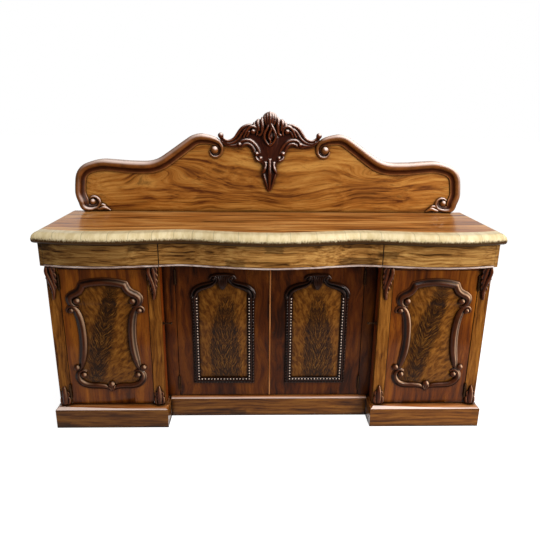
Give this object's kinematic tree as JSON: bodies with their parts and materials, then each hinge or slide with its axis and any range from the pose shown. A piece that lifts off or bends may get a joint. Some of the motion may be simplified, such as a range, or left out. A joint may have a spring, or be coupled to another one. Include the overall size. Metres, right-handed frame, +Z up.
{
  "type": "sideboard",
  "caption": "Serpentine-fronted mahogany chiffonier or pedestal sideboard with frieze drawers, moulded cupboard doors and a shaped gallery back with carved crest.",
  "frame": {"origin": "on the floor under the middle of the overall width and depth", "axes": "+X along the front to the right of someone facing it, +Y towards the wall, +Z up"},
  "size_m": [2.04, 0.564, 1.447],
  "materials": {
    "figured_mahogany": "french polished",
    "mahogany": "french polished",
    "carved_mahogany": "waxed, dark",
    "pine": "unfinished",
    "brass": "aged",
    "steel": "plain"
  },
  "bodies": {
    "carcass": {"plinth_left": "mahogany", "plinth_right": "mahogany", "plinth_centre": "mahogany", "plinth_mouldings": "mahogany", "pedestal_outer_sides": "mahogany", "pedestal_inner_sides": "mahogany", "carcass_bottoms": "pine", "carcass_tops": "pine", "carcass_backs": "pine", "shelves": "pine", "shelf_bearers": "pine", "pilasters": "mahogany", "filler_stiles": "mahogany", "door_head_rails": "mahogany", "upper_trusses": "carved_mahogany", "leaf_feet": "carved_mahogany", "frieze_ends": "mahogany", "frieze_dividers": "pine", "frieze_back": "pine", "top_board": "mahogany", "hinge_fixed_leaves": "brass", "hinge_pins": "brass", "side_bolt_bushes": "brass", "gallery_back_board": "figured_mahogany", "gallery_scroll_left": "carved_mahogany", "gallery_scroll_right": "carved_mahogany", "crest_carving": "carved_mahogany", "gallery_plates": "steel", "gallery_screws": "steel"},
    "drawer_left": {"drawer_left_front": "figured_mahogany", "drawer_left_bead": "carved_mahogany", "drawer_left_box": "pine"},
    "drawer_centre": {"drawer_centre_front": "figured_mahogany", "drawer_centre_bead": "carved_mahogany", "drawer_centre_box": "pine"},
    "drawer_right": {"drawer_right_front": "figured_mahogany", "drawer_right_bead": "carved_mahogany", "drawer_right_box": "pine"},
    "door_left": {"door_left_frame": "mahogany", "door_left_panel": "figured_mahogany", "door_left_moulding": "carved_mahogany", "door_left_fittings": "brass"},
    "door_right": {"door_right_frame": "mahogany", "door_right_panel": "figured_mahogany", "door_right_moulding": "carved_mahogany", "door_right_fittings": "brass"},
    "door_centre_left": {"door_centre_left_frame": "mahogany", "door_centre_left_panel": "figured_mahogany", "door_centre_left_moulding": "carved_mahogany", "door_centre_left_fittings": "brass"},
    "door_centre_right": {"door_centre_right_frame": "mahogany", "door_centre_right_panel": "figured_mahogany", "door_centre_right_moulding": "carved_mahogany", "door_centre_right_fittings": "brass", "meeting_bead_strip": "carved_mahogany", "centre_lock": "brass"},
    "centre_lock_bolt": {"centre_lock_bolt": "brass"},
    "side_bolt_left": {"side_bolt_left": "brass"},
    "side_bolt_right": {"side_bolt_right": "brass"}
  },
  "joints": [
    {"name": "drawer_left_slide", "type": "slide", "parent": "carcass", "child": "drawer_left", "axis": [0, -1, 0], "range_m": [0, 0.28]},
    {"name": "drawer_centre_slide", "type": "slide", "parent": "carcass", "child": "drawer_centre", "axis": [0, -1, 0], "range_m": [0, 0.28]},
    {"name": "drawer_right_slide", "type": "slide", "parent": "carcass", "child": "drawer_right", "axis": [0, -1, 0], "range_m": [0, 0.28]},
    {"name": "door_left_hinge", "type": "hinge", "parent": "carcass", "child": "door_left", "pos_m": [-0.9357, -0.1904, 0.44], "axis": [0, 0, -1], "range_deg": [0, 100]},
    {"name": "door_right_hinge", "type": "hinge", "parent": "carcass", "child": "door_right", "pos_m": [0.9357, -0.1904, 0.44], "axis": [0, 0, 1], "range_deg": [0, 100]},
    {"name": "door_centre_left_hinge", "type": "hinge", "parent": "carcass", "child": "door_centre_left", "pos_m": [-0.4377, -0.1104, 0.44], "axis": [0, 0, -1], "range_deg": [0, 100]},
    {"name": "door_centre_right_hinge", "type": "hinge", "parent": "carcass", "child": "door_centre_right", "pos_m": [0.4377, -0.1104, 0.44], "axis": [0, 0, 1], "range_deg": [0, 100]},
    {"name": "centre_lock_slide", "type": "slide", "parent": "door_centre_right", "child": "centre_lock_bolt", "axis": [-1, 0, 0], "range_m": [0, 0.018]},
    {"name": "side_bolt_left_slide", "type": "slide", "parent": "carcass", "child": "side_bolt_left", "axis": [-1, 0, 0], "range_m": [0, 0.028]},
    {"name": "side_bolt_right_slide", "type": "slide", "parent": "carcass", "child": "side_bolt_right", "axis": [1, 0, 0], "range_m": [0, 0.028]}
  ]
}
